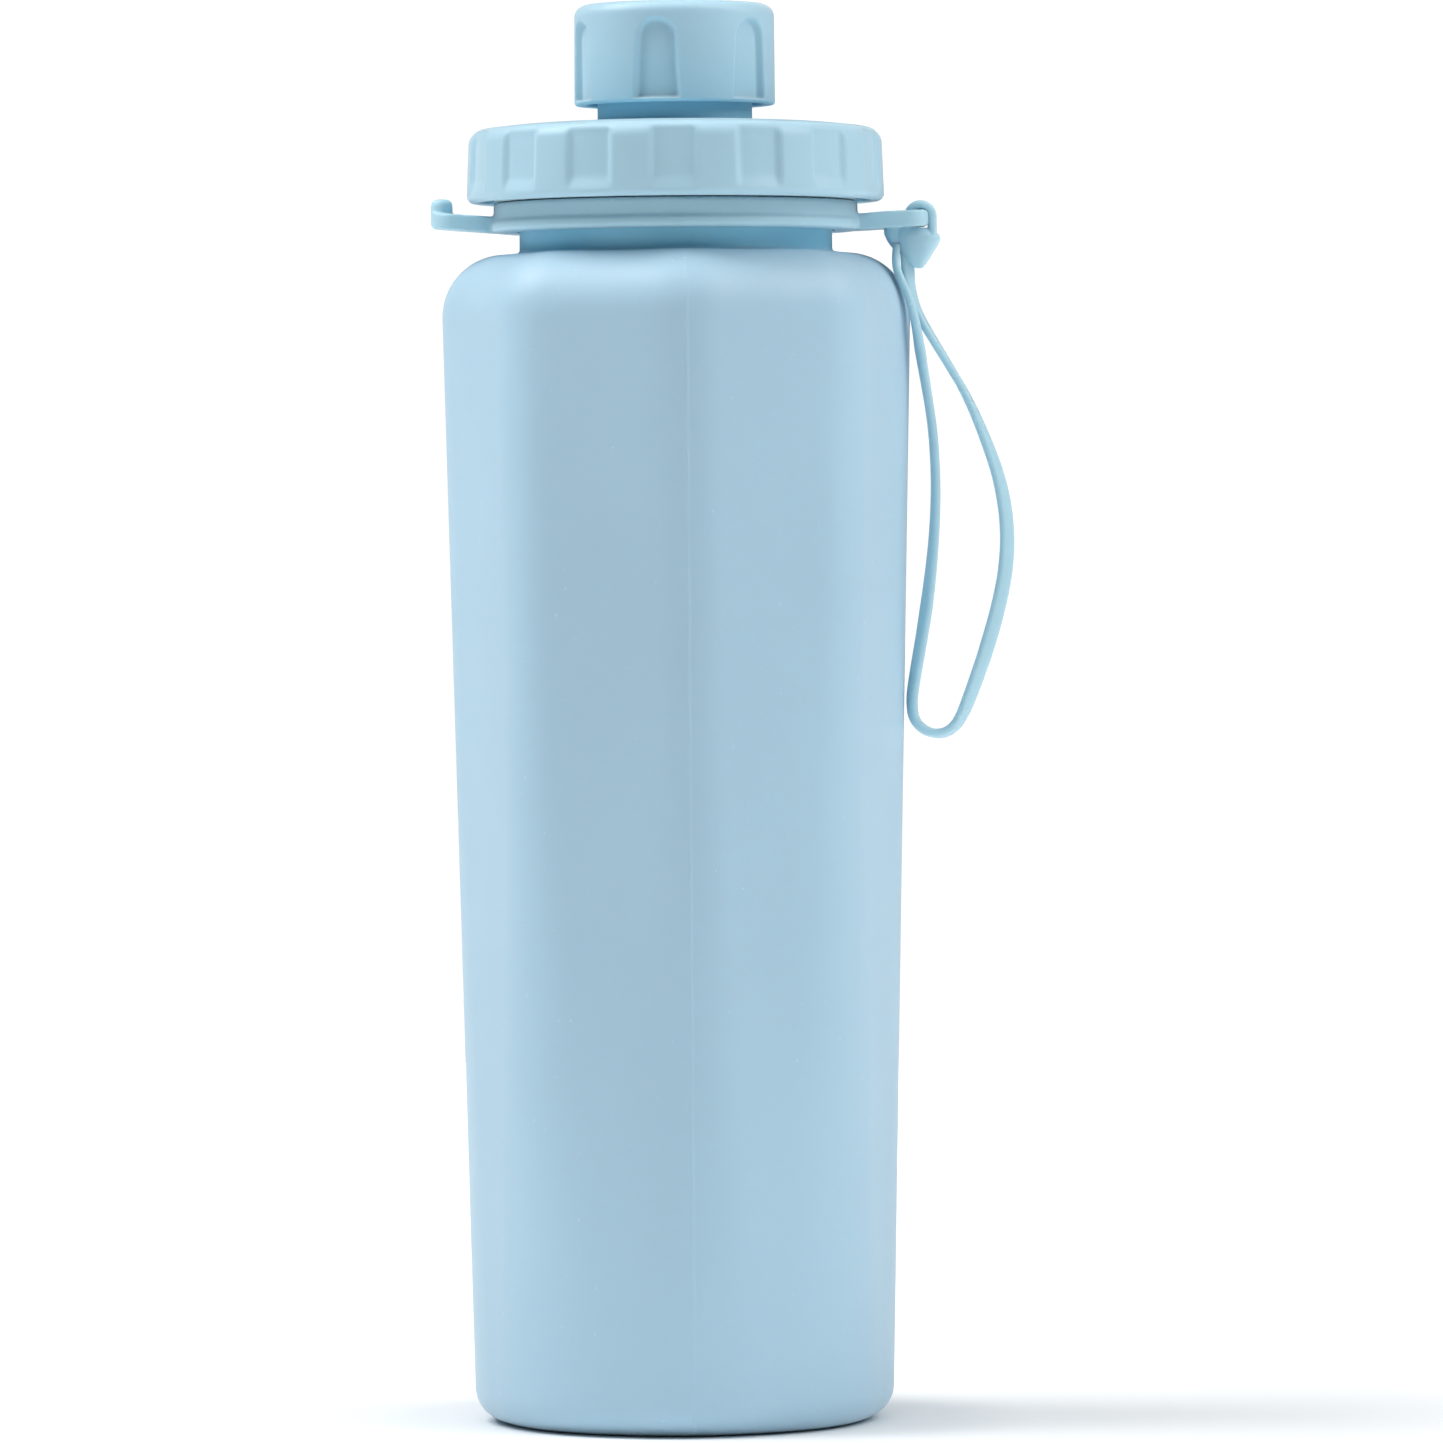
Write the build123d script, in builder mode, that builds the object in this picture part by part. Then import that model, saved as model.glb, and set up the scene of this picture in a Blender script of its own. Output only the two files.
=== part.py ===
"""Folding water bottle: a silicone bottle with a screw lid, a spout cap and a carrying strap.

The origin is the centre of the flat base, +Z is up through the neck, and -Y is the front.
The strap's hook is on -X, and its lanyard hangs on +X. Every length is in millimetres.
"""

from build123d import *
from math import cos, pi, radians, tan
import os

# Body: an eight-sided moulding that tapers and turns round towards the base.
WALL = 2.2
BASE_THICKNESS = 3.0
BODY_TOP = 197.7
BASE_HALF_WIDTH = 35.45
BODY_TAPER = 0.0227
SIDE_COUNT = 8
CORNER_TURN = 2.75
CORNER_RADIUS = 13.8
BASE_CORNER_RADIUS = 33.0
FACETED_FROM = 125.0
ROUNDING_POWER = 1.2
STATION_COUNT = 5
SHOULDER_RADIUS = 11.0
BASE_RADIUS = 5.5

# Neck of the body, and the lip that its lid seals on.
NECK_RADIUS = 26.5
MOUTH_RADIUS = 24.0
LIP_RADIUS = 29.0
LIP_THICKNESS = 1.5

# Threads: one start each, all of one pitch and one profile. The bite sinks a ridge in its wall.
THREAD_PITCH = 4.0
THREAD_HALF_ROOT = 0.9
THREAD_HALF_CREST = 0.4
THREAD_BITE = 0.3

# Rigid collar around the neck, with the thread for the lid.
COLLAR_RADIUS = 30.84
COLLAR_BOTTOM = 206.5
COLLAR_TOP = 214.5
COLLAR_CHAMFER = 0.4
COLLAR_THREAD_DEPTH = 1.45
COLLAR_THREAD_START = 208.2
COLLAR_THREAD_TURNS = 1.15

# Screw lid, with its fifteen grip pads.
LID_BOTTOM = 206.4
LID_TOP = 219.6
LID_BOTTOM_RADIUS = 35.4
LID_TOP_RADIUS = 34.9
LID_EDGE_RADIUS = 2.4
LID_RIM_RADIUS = 0.6
LID_BORE_RADIUS = 33.0
LID_PLATE = 2.0
LID_THREAD_DEPTH = 1.7
LID_THREAD_TURNS = 1.0
PAD_COUNT = 15
PAD_PITCH = 360 / PAD_COUNT
PAD_CENTRE = 11.5
LAND_RADIUS = 34.3
LAND_BOTTOM = 207.5
LAND_SPAN = 11.5
LAND_CUT_DEPTH = 3.0

# Drinking spout: the part of the lid's moulding that the cap screws on.
SPOUT_RADIUS = 13.1
SPOUT_BORE_RADIUS = 10.8
SPOUT_TOP = 237.0
SPOUT_THREAD_DEPTH = 1.15
SPOUT_THREAD_START = 227.6
SPOUT_THREAD_TURNS = 1.5

# Gasket between the lid and the lip.
GASKET_RADIUS = 30.0
GASKET_BORE_RADIUS = 23.5
GASKET_EDGE = 0.3
GASKET_SEAT_RADIUS = 30.4

# Spout cap, with six finger scoops.
CAP_BOTTOM = 222.8
CAP_TOP = 240.0
CAP_RADIUS = 17.0
CAP_EDGE_RADIUS = 2.0
CAP_RIM_RADIUS = 0.4
CAP_BORE_RADIUS = 14.9
CAP_PLATE = 1.8
CAP_THREAD_DEPTH = 1.4
CAP_THREAD_TURNS = 1.0
SCOOP_COUNT = 6
SCOOP_CENTRE = -10.0
SCOOP_RADIUS = 9.5
SCOOP_DEPTH = 0.8
SCOOP_TOP = 233.7
SCOOP_TILT = 3.1

# Disc seal inside the spout cap.
SEAL_RADIUS = 13.6
SEAL_EDGE = 0.2
SEAL_SEAT_RADIUS = 13.95
SEAL_SEAT_BOTTOM = 236.4

# Strap ring around the neck: a hook tab on -X and an eye tab on +X.
RING_RADIUS = 30.84
RING_BORE_RADIUS = 26.8
RING_BOTTOM = 201.4
RING_TOP = 206.3
RING_EDGE = 0.4
TAB_TOP = 204.1
STRAP_EDGE = 0.8
BAR_EDGE = 1.15
HOOK_TAB_END = -41.5
HOOK_TAB_WIDTH = 8.0
HOOK_TAB_RISE = 0.8
HOOK_TAB_ROUNDING = 3.9
PEG_RADIUS = 1.85
PEG_TOP = 207.2
PEG_ROUNDING = 1.1
EYE_TAB_END = 43.0
EYE_TAB_WIDTH = 10.0
EYE_TAB_TIP_BOTTOM = 202.0
EYE_TAB_TIP_TOP = 204.8
EYE_TAB_SWELL = 35.5
EYE_TAB_RISE = 0.4
EYE_TAB_ROUNDING = 3.6
EYE_LENGTH = 3.4
EYE_WIDTH = 6.6
EYE_CORNER = 1.0
EYE_END = 39.9

# Lanyard: a thin loop hitched around the bar between the eye and the tab's tip.
BAR_X = (EYE_END + EYE_TAB_END) / 2
BAR_Z = (EYE_TAB_TIP_BOTTOM + EYE_TAB_TIP_TOP) / 2
BAND_WIDTH = 2.8
HITCH_RADIUS = 3.1
HITCH_BORE_RADIUS = 1.9
HITCH_HALF_WIDTH = 2.9
KNOT_HALF_WIDTH = 3.2
KNOT_EDGE = 0.6
KNOT_OUTLINE = [
    (35.4, 201.2),
    (44.4, 201.2),
    (44.4, 199.9),
    (41.9, 195.9),
    (39.2, 195.4),
    (36.7, 197.4),
]

# The loop's route, down the outer strand, round the bottom and up the inner strand.
LANYARD_ROUTE = [
    (41.3, -1.5, 197.6),
    (42.7, -1.5, 188.6),
    (46.2, -1.0, 179.6),
    (51.8, -0.4, 169.6),
    (56.2, 0.0, 157.6),
    (57.1, 0.0, 145.0),
    (54.2, 0.0, 134.0),
    (50.7, 0.0, 125.2),
    (48.5, 0.0, 119.0),
    (45.7, 0.0, 116.1),
    (42.0, 0.0, 116.4),
    (40.0, 0.0, 120.0),
    (40.5, 0.0, 126.8),
    (42.0, 0.1, 135.2),
    (44.1, 0.4, 145.0),
    (45.2, 0.7, 156.0),
    (44.9, 1.0, 167.4),
    (43.2, 1.3, 178.0),
    (42.0, 1.5, 188.0),
    (41.0, 1.5, 197.6),
]
ARC_SHARE = 0.45

os.makedirs("parts", exist_ok=True)


def corner_radius(height):
    """Rounding of the body's corners: constant above, opening to a circle at the base."""
    below = max(0.0, 1 - height / FACETED_FROM) ** ROUNDING_POWER
    return CORNER_RADIUS + (BASE_CORNER_RADIUS - CORNER_RADIUS) * below


def body_section(height, inset=0.0):
    """The body's eight-sided section at a height, moved inwards by the inset."""
    rounding = corner_radius(height)
    half_width = BASE_HALF_WIDTH + BODY_TAPER * height
    corner_share = cos(pi / SIDE_COUNT)
    apothem = corner_share * half_width + (1 - corner_share) * rounding
    with BuildSketch(Plane.XY.offset(height)) as section:
        RegularPolygon(apothem - inset, SIDE_COUNT, major_radius=False, rotation=CORNER_TURN)
        fillet(section.vertices(), rounding - inset)
    return section.sketch


def body_stations(bottom, top, inset=0.0):
    """Evenly spaced sections of the body between two heights."""
    step = (top - bottom) / (STATION_COUNT - 1)
    return [body_section(bottom + step * index, inset) for index in range(STATION_COUNT)]


def thread_ridge(radius, depth, start, turns):
    """A helical ridge on a wall of this radius: outwards for a positive depth, else inwards."""
    root = -THREAD_BITE if depth > 0 else THREAD_BITE
    with BuildPart() as ridge:
        with BuildLine() as path:
            Helix(THREAD_PITCH, THREAD_PITCH * turns, radius, center=(0, 0, start))
        with BuildSketch(Plane(path.line @ 0, x_dir=(1, 0, 0), z_dir=path.line % 0)):
            with BuildLine():
                Polyline(
                    (root, -THREAD_HALF_ROOT),
                    (root, THREAD_HALF_ROOT),
                    (depth, THREAD_HALF_CREST),
                    (depth, -THREAD_HALF_CREST),
                    close=True,
                )
            make_face()
        sweep(path=path.line, is_frenet=True)
    return ridge.part


# Silicone body: bottle, shoulder, neck and sealing lip in one moulding.
with BuildPart() as cavity:
    loft(body_stations(BASE_THICKNESS, BODY_TOP - WALL, WALL))
    fillet(cavity.edges().group_by(Axis.Z)[-1], SHOULDER_RADIUS - WALL)
    fillet(cavity.edges().group_by(Axis.Z)[0], BASE_RADIUS - WALL)

with BuildPart() as silicone_body:
    loft(body_stations(0, BODY_TOP))
    fillet(silicone_body.edges().group_by(Axis.Z)[-1], SHOULDER_RADIUS)
    fillet(silicone_body.edges().group_by(Axis.Z)[0], BASE_RADIUS)
    with BuildSketch(Plane.XY.offset(BODY_TOP - WALL)):
        Circle(NECK_RADIUS)
    extrude(amount=COLLAR_TOP - BODY_TOP + WALL)
    with BuildSketch(Plane.XY.offset(COLLAR_TOP)):
        Circle(LIP_RADIUS)
    extrude(amount=LIP_THICKNESS)
    add(cavity.part, mode=Mode.SUBTRACT)
    with BuildSketch(Plane.XY.offset(BODY_TOP - 2 * WALL)):
        Circle(MOUTH_RADIUS)
    extrude(amount=COLLAR_TOP - BODY_TOP + 2 * WALL + LIP_THICKNESS, mode=Mode.SUBTRACT)
silicone_body.part.label = "silicone_body"
export_step(silicone_body.part, "parts/silicone_body.step")

# Neck collar: a rigid ring bonded to the neck, with one outside thread.
collar_thread = thread_ridge(
    COLLAR_RADIUS, COLLAR_THREAD_DEPTH, COLLAR_THREAD_START, COLLAR_THREAD_TURNS
)
with BuildPart() as neck_collar:
    with BuildSketch(Plane.XY.offset(COLLAR_BOTTOM)):
        Circle(COLLAR_RADIUS)
        Circle(NECK_RADIUS, mode=Mode.SUBTRACT)
    extrude(amount=COLLAR_TOP - COLLAR_BOTTOM)
    outer_rims = neck_collar.edges().filter_by(GeomType.CIRCLE).filter_by(
        lambda rim: rim.radius > NECK_RADIUS
    )
    chamfer(outer_rims, COLLAR_CHAMFER)
    add(collar_thread)
neck_collar.part.label = "neck_collar"
export_step(neck_collar.part, "parts/neck_collar.step")

# Lid gasket: a flat ring that the lid presses onto the lip.
LIP_TOP = COLLAR_TOP + LIP_THICKNESS
LID_CEILING = LID_TOP - LID_PLATE
with BuildPart() as lid_gasket:
    with BuildSketch(Plane.XY.offset(LIP_TOP)):
        Circle(GASKET_RADIUS)
        Circle(GASKET_BORE_RADIUS, mode=Mode.SUBTRACT)
    extrude(amount=LID_CEILING - LIP_TOP)
    fillet(lid_gasket.edges(), GASKET_EDGE)
lid_gasket.part.label = "lid_gasket"
export_step(lid_gasket.part, "parts/lid_gasket.step")

# Screw lid: skirt, gasket seat and top plate, around the spout that is moulded with it.
lid_thread = thread_ridge(
    LID_BORE_RADIUS, -LID_THREAD_DEPTH, COLLAR_THREAD_START + THREAD_PITCH / 2, LID_THREAD_TURNS
)
with BuildPart() as land_cut:
    with BuildSketch(Plane.XZ):
        with Locations((LAND_RADIUS, LAND_BOTTOM)):
            Rectangle(LAND_CUT_DEPTH, LID_TOP - LAND_BOTTOM, align=Align.MIN)
    revolve(axis=Axis.Z, revolution_arc=LAND_SPAN)

with BuildPart() as screw_lid:
    with BuildSketch(Plane.XZ) as lid_profile:
        with BuildLine():
            Polyline(
                (SPOUT_RADIUS, LID_CEILING),
                (GASKET_SEAT_RADIUS, LID_CEILING),
                (GASKET_SEAT_RADIUS, LIP_TOP),
                (LID_BORE_RADIUS, LIP_TOP),
                (LID_BORE_RADIUS, LID_BOTTOM),
                (LID_BOTTOM_RADIUS, LID_BOTTOM),
                (LID_TOP_RADIUS, LID_TOP),
                (SPOUT_RADIUS, LID_TOP),
                close=True,
            )
        make_face()
        rim_corner, top_corner = lid_profile.vertices().sort_by(Axis.X)[:-3:-1]
        fillet(rim_corner, LID_RIM_RADIUS)
        fillet(top_corner, LID_EDGE_RADIUS)
    revolve(axis=Axis.Z)
    first_land = PAD_CENTRE - 90 + (PAD_PITCH - LAND_SPAN) / 2
    with PolarLocations(0, PAD_COUNT, start_angle=first_land):
        add(land_cut.part, mode=Mode.SUBTRACT)
    add(lid_thread)
screw_lid.part.label = "screw_lid"
export_step(screw_lid.part, "parts/screw_lid.step")

# Drinking spout: a threaded tube that stands up from the hole in the lid's top plate.
spout_thread = thread_ridge(
    SPOUT_RADIUS, SPOUT_THREAD_DEPTH, SPOUT_THREAD_START, SPOUT_THREAD_TURNS
)
with BuildPart() as drinking_spout:
    with BuildSketch(Plane.XY.offset(LID_CEILING)):
        Circle(SPOUT_RADIUS)
        Circle(SPOUT_BORE_RADIUS, mode=Mode.SUBTRACT)
    extrude(amount=SPOUT_TOP - LID_CEILING)
    add(spout_thread)
drinking_spout.part.label = "drinking_spout"
export_step(drinking_spout.part, "parts/drinking_spout.step")

# Cap seal: a disc that the cap presses onto the spout's rim.
CAP_CEILING = CAP_TOP - CAP_PLATE
with BuildPart() as cap_seal:
    with BuildSketch(Plane.XY.offset(SPOUT_TOP)):
        Circle(SEAL_RADIUS)
    extrude(amount=CAP_CEILING - SPOUT_TOP)
    fillet(cap_seal.edges(), SEAL_EDGE)
cap_seal.part.label = "cap_seal"
export_step(cap_seal.part, "parts/cap_seal.step")

# Spout cap: a small threaded cap with arched finger scoops.
cap_thread = thread_ridge(
    CAP_BORE_RADIUS, -CAP_THREAD_DEPTH, SPOUT_THREAD_START - THREAD_PITCH / 2, CAP_THREAD_TURNS
)
with BuildPart() as spout_cap:
    with BuildSketch(Plane.XZ) as cap_profile:
        with BuildLine():
            Polyline(
                (0, CAP_CEILING),
                (SEAL_SEAT_RADIUS, CAP_CEILING),
                (SEAL_SEAT_RADIUS, SEAL_SEAT_BOTTOM),
                (CAP_BORE_RADIUS, SEAL_SEAT_BOTTOM),
                (CAP_BORE_RADIUS, CAP_BOTTOM),
                (CAP_RADIUS, CAP_BOTTOM),
                (CAP_RADIUS, CAP_TOP),
                (0, CAP_TOP),
                close=True,
            )
        make_face()
        rim_corner, top_corner = cap_profile.vertices().group_by(Axis.X)[-1].sort_by(Axis.Y)
        fillet(rim_corner, CAP_RIM_RADIUS)
        fillet(top_corner, CAP_EDGE_RADIUS)
    revolve(axis=Axis.Z)
    with PolarLocations(CAP_RADIUS - SCOOP_DEPTH + SCOOP_RADIUS, SCOOP_COUNT, SCOOP_CENTRE - 90):
        with Locations(Location((0, 0, SCOOP_TOP), (0, SCOOP_TILT, 0))):
            Cylinder(
                SCOOP_RADIUS,
                CAP_TOP - CAP_BOTTOM,
                align=(Align.CENTER, Align.CENTER, Align.MAX),
                mode=Mode.SUBTRACT,
            )
            Sphere(SCOOP_RADIUS, mode=Mode.SUBTRACT)
    add(cap_thread)
spout_cap.part.label = "spout_cap"
export_step(spout_cap.part, "parts/spout_cap.step")


def on_bar(edge):
    """True for an edge of the eye that lies on the bar."""
    return abs(edge.center().X - EYE_END) < EYE_LENGTH / 10


# Strap ring: a soft ring that turns on the neck, with the hook tab and the eye tab.
with BuildPart() as strap_ring:
    with BuildSketch(Plane.XZ) as tab_side:
        with BuildLine():
            Polyline(
                (HOOK_TAB_END, RING_BOTTOM + HOOK_TAB_RISE),
                (HOOK_TAB_END, TAB_TOP + HOOK_TAB_RISE),
                (-RING_RADIUS, TAB_TOP),
                (RING_RADIUS, TAB_TOP),
                (EYE_TAB_SWELL, TAB_TOP + EYE_TAB_RISE),
                (EYE_TAB_END, EYE_TAB_TIP_TOP),
                (EYE_TAB_END, EYE_TAB_TIP_BOTTOM),
                (RING_RADIUS, RING_BOTTOM),
                (-RING_RADIUS, RING_BOTTOM),
                close=True,
            )
        make_face()
        fillet(tab_side.vertices().group_by(Axis.X)[0].sort_by(Axis.Y)[0], STRAP_EDGE)
        fillet(tab_side.vertices().group_by(Axis.X)[-1], BAR_EDGE)
    extrude(amount=EYE_TAB_WIDTH / 2, both=True)
    with BuildSketch(Plane.XY.offset(RING_BOTTOM)) as tab_plan:
        Rectangle(-HOOK_TAB_END, HOOK_TAB_WIDTH, align=(Align.MAX, Align.CENTER))
        Rectangle(EYE_TAB_END, EYE_TAB_WIDTH, align=(Align.MIN, Align.CENTER))
        fillet(tab_plan.vertices().group_by(Axis.X)[0], HOOK_TAB_ROUNDING)
        fillet(tab_plan.vertices().group_by(Axis.X)[-1], EYE_TAB_ROUNDING)
    extrude(amount=PEG_TOP - RING_BOTTOM, mode=Mode.INTERSECT)
    with BuildSketch(Plane.XY.offset(RING_BOTTOM)):
        Circle(RING_RADIUS)
    extrude(amount=RING_TOP - RING_BOTTOM)
    with BuildSketch(Plane.XY.offset(RING_BOTTOM)):
        Circle(RING_BORE_RADIUS)
        with Locations((EYE_END - EYE_LENGTH / 2, 0)):
            RectangleRounded(EYE_LENGTH, EYE_WIDTH, EYE_CORNER)
    extrude(amount=PEG_TOP - RING_BOTTOM, mode=Mode.SUBTRACT)
    eye_edges = strap_ring.edges().filter_by(Axis.Y).filter_by(on_bar)
    fillet(eye_edges, BAR_EDGE)
    with BuildSketch(Plane.XY.offset(TAB_TOP)):
        with Locations((HOOK_TAB_END + PEG_RADIUS, 0)):
            Circle(PEG_RADIUS)
    extrude(amount=PEG_TOP - TAB_TOP)
    fillet(strap_ring.faces().sort_by(Axis.Z)[-1].edges(), PEG_ROUNDING)
    ring_rim = strap_ring.edges().filter_by(GeomType.CIRCLE).group_by(SortBy.RADIUS)[-1]
    fillet(ring_rim.sort_by(Axis.Z)[-1], RING_EDGE)
strap_ring.part.label = "strap_ring"
export_step(strap_ring.part, "parts/strap_ring.step")

# Lanyard hitch: the band's turn around the bar, and the knot drawn up below it.
with BuildPart() as lanyard_hitch:
    with BuildSketch(Plane.XZ):
        with BuildLine():
            Polyline(*KNOT_OUTLINE, close=True)
        make_face()
    extrude(amount=KNOT_HALF_WIDTH, both=True)
    fillet(lanyard_hitch.edges().filter_by(Axis.Y), KNOT_EDGE)
    with BuildSketch(Plane.XZ):
        with Locations((BAR_X, BAR_Z)):
            Circle(HITCH_RADIUS)
    extrude(amount=HITCH_HALF_WIDTH, both=True)
    with BuildSketch(Plane.XZ):
        with Locations((BAR_X, BAR_Z)):
            Circle(HITCH_BORE_RADIUS)
    extrude(amount=KNOT_HALF_WIDTH, both=True, mode=Mode.SUBTRACT)
lanyard_hitch.part.label = "lanyard_hitch"
export_step(lanyard_hitch.part, "parts/lanyard_hitch.step")


def bend_radii(route):
    """For each corner of the route, the largest arc that its two runs leave room for."""
    points = [Vector(*point) for point in route]
    radii = []
    for before, corner, after in zip(points, points[1:], points[2:]):
        shorter = min((corner - before).length, (after - corner).length)
        turn = (corner - before).get_angle(after - corner)
        radii.append(ARC_SHARE * shorter / tan(radians(turn) / 2))
    return radii


# Lanyard loop: one closed loop, whose two ends run into the knot.
lanyard_radii = bend_radii(LANYARD_ROUTE)
with BuildPart() as lanyard_loop:
    with BuildLine() as lanyard_path:
        FilletPolyline(*LANYARD_ROUTE, radius=lanyard_radii)
    with BuildSketch(Plane(lanyard_path.line @ 0, z_dir=lanyard_path.line % 0)):
        Circle(BAND_WIDTH / 2)
    sweep(path=lanyard_path.line)
lanyard_loop.part.label = "lanyard_loop"
lanyard_length = lanyard_path.wire().length
lanyard_volume = lanyard_length * pi * (BAND_WIDTH / 2) ** 2
print("lanyard bend radii", [round(radius, 1) for radius in lanyard_radii])
print("lanyard length", round(lanyard_length, 1))
print("lanyard volume over section times length", lanyard_loop.part.volume / lanyard_volume)
export_step(lanyard_loop.part, "parts/lanyard_loop.step")
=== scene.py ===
from math import atan2, cos, pi, radians, sin, tan

import bpy
import numpy as np
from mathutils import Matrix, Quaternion, Vector


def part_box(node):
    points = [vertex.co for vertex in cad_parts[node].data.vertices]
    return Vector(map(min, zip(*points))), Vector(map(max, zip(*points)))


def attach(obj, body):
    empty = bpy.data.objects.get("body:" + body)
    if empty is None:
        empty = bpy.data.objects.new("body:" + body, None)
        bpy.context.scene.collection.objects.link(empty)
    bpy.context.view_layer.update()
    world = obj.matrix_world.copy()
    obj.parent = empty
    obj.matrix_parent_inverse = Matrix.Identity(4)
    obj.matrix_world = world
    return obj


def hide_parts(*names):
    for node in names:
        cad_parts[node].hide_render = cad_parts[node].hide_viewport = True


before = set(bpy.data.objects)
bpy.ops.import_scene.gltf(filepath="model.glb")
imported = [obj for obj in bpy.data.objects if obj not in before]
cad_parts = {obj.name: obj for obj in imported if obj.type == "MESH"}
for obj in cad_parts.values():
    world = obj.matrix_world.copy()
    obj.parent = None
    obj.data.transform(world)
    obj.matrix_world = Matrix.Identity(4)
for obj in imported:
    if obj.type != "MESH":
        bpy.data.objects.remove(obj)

# The looks of the folding water bottle, built around its CAD frame. Shapes are worked out in
# millimetres and turned into metres as each mesh is made.
MM = 0.001
UP = Vector((0, 0, 1))
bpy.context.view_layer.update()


def low(node):
    """A CAD node's lowest height, in millimetres."""
    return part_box(node)[0].z / MM


def high(node):
    """A CAD node's greatest height, in millimetres."""
    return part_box(node)[1].z / MM


# ---------------------------------------------------------------------------------------------
# Camera: a long lens, about level with the upper half of the bottle.
# ---------------------------------------------------------------------------------------------

CAMERA_DISTANCE = 1.5
CAMERA_HEIGHT = 0.152
CAMERA_AIM = Vector((0.0071, 0, 0.1183))
CAMERA_LENS = 220.5
CAMERA_ROLL = radians(-0.45)


def make_camera():
    """The camera at the viewing angle of a plain product picture, slightly rolled."""
    data = bpy.data.cameras.new("camera")
    data.lens = CAMERA_LENS
    data.clip_start = 0.05
    data.clip_end = 50
    camera = bpy.data.objects.new("camera", data)
    camera.location = (CAMERA_AIM.x, -CAMERA_DISTANCE, CAMERA_HEIGHT)
    camera.rotation_mode = "QUATERNION"
    look = (CAMERA_AIM - camera.location).to_track_quat("-Z", "Y")
    camera.rotation_quaternion = look @ Quaternion((0, 0, 1), CAMERA_ROLL)
    bpy.context.scene.collection.objects.link(camera)
    bpy.context.scene.camera = camera


make_camera()

# ---------------------------------------------------------------------------------------------
# Materials. Each is a group of nodes laid out by the same small builder.
# ---------------------------------------------------------------------------------------------


class Nodes:
    """A material's node tree, with one-line ways to add and join nodes."""

    def __init__(self, name):
        self.material = bpy.data.materials.new(name)
        self.material.use_nodes = True
        self.tree = self.material.node_tree
        self.tree.nodes.clear()
        self.output = self.add("ShaderNodeOutputMaterial")
        self.shader = self.add("ShaderNodeBsdfPrincipled")
        self.join(self.shader.outputs["BSDF"], self.output.inputs["Surface"])
        self.place = self.add("ShaderNodeTexCoord").outputs["Object"]

    def add(self, kind, **settings):
        node = self.tree.nodes.new(kind)
        for key, value in settings.items():
            setattr(node, key, value)
        return node

    def join(self, output, socket):
        self.tree.links.new(output, socket)

    def noise(self, size, detail=2.0, stretch=(1, 1, 1)):
        """Noise with features of about this size in metres, squeezed along an axis by stretch."""
        mapping = self.add("ShaderNodeMapping")
        mapping.inputs["Scale"].default_value = stretch
        self.join(self.place, mapping.inputs["Vector"])
        noise = self.add("ShaderNodeTexNoise")
        noise.inputs["Scale"].default_value = 1 / size
        noise.inputs["Detail"].default_value = detail
        self.join(mapping.outputs["Vector"], noise.inputs["Vector"])
        return noise.outputs["Fac"]

    def span(self, value, low_in, high_in, low_out, high_out):
        """The value carried from one range to another."""
        ramp = self.add("ShaderNodeMapRange")
        for socket, number in zip(list(ramp.inputs)[1:5], (low_in, high_in, low_out, high_out)):
            socket.default_value = number
        self.join(value, ramp.inputs["Value"])
        return ramp.outputs["Result"]

    def mix(self, factor, first, second):
        """Two colours mixed by a factor; each colour is three numbers or an output."""
        mix = self.add("ShaderNodeMix", data_type="RGBA")
        self.join(factor, mix.inputs["Factor"])
        for socket, colour in ((mix.inputs[6], first), (mix.inputs[7], second)):
            if isinstance(colour, tuple):
                socket.default_value = (*colour, 1)
            else:
                self.join(colour, socket)
        return mix.outputs[2]

    def bump(self, height, distance, strength=1.0, after=None):
        """A bump of this depth in metres, laid over an earlier one if given."""
        bump = self.add("ShaderNodeBump")
        bump.inputs["Strength"].default_value = strength
        bump.inputs["Distance"].default_value = distance
        self.join(height, bump.inputs["Height"])
        if after is not None:
            self.join(after, bump.inputs["Normal"])
        return bump.outputs["Normal"]

    def set(self, **values):
        """Numbers and colours for the shader, with spaces in socket names as underscores."""
        for key, value in values.items():
            self.shader.inputs[key.replace("_", " ")].default_value = value

    def feed(self, **outputs):
        for key, output in outputs.items():
            self.join(output, self.shader.inputs[key.replace("_", " ")])


def tinted(colour, factor):
    """A colour made lighter or darker by a factor."""
    return tuple(min(1.0, channel * factor) for channel in colour)


def painted_shade_by_height(nodes, colour, shade_colour, start, end):
    """A colour that turns to a deeper one between two heights in metres: painted shade for a shaded
    recess.
    """
    height = nodes.add("ShaderNodeSeparateXYZ")
    nodes.join(nodes.place, height.inputs["Vector"])
    return nodes.mix(nodes.span(height.outputs["Z"], start, end, 0, 1), colour, shade_colour)


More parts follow.
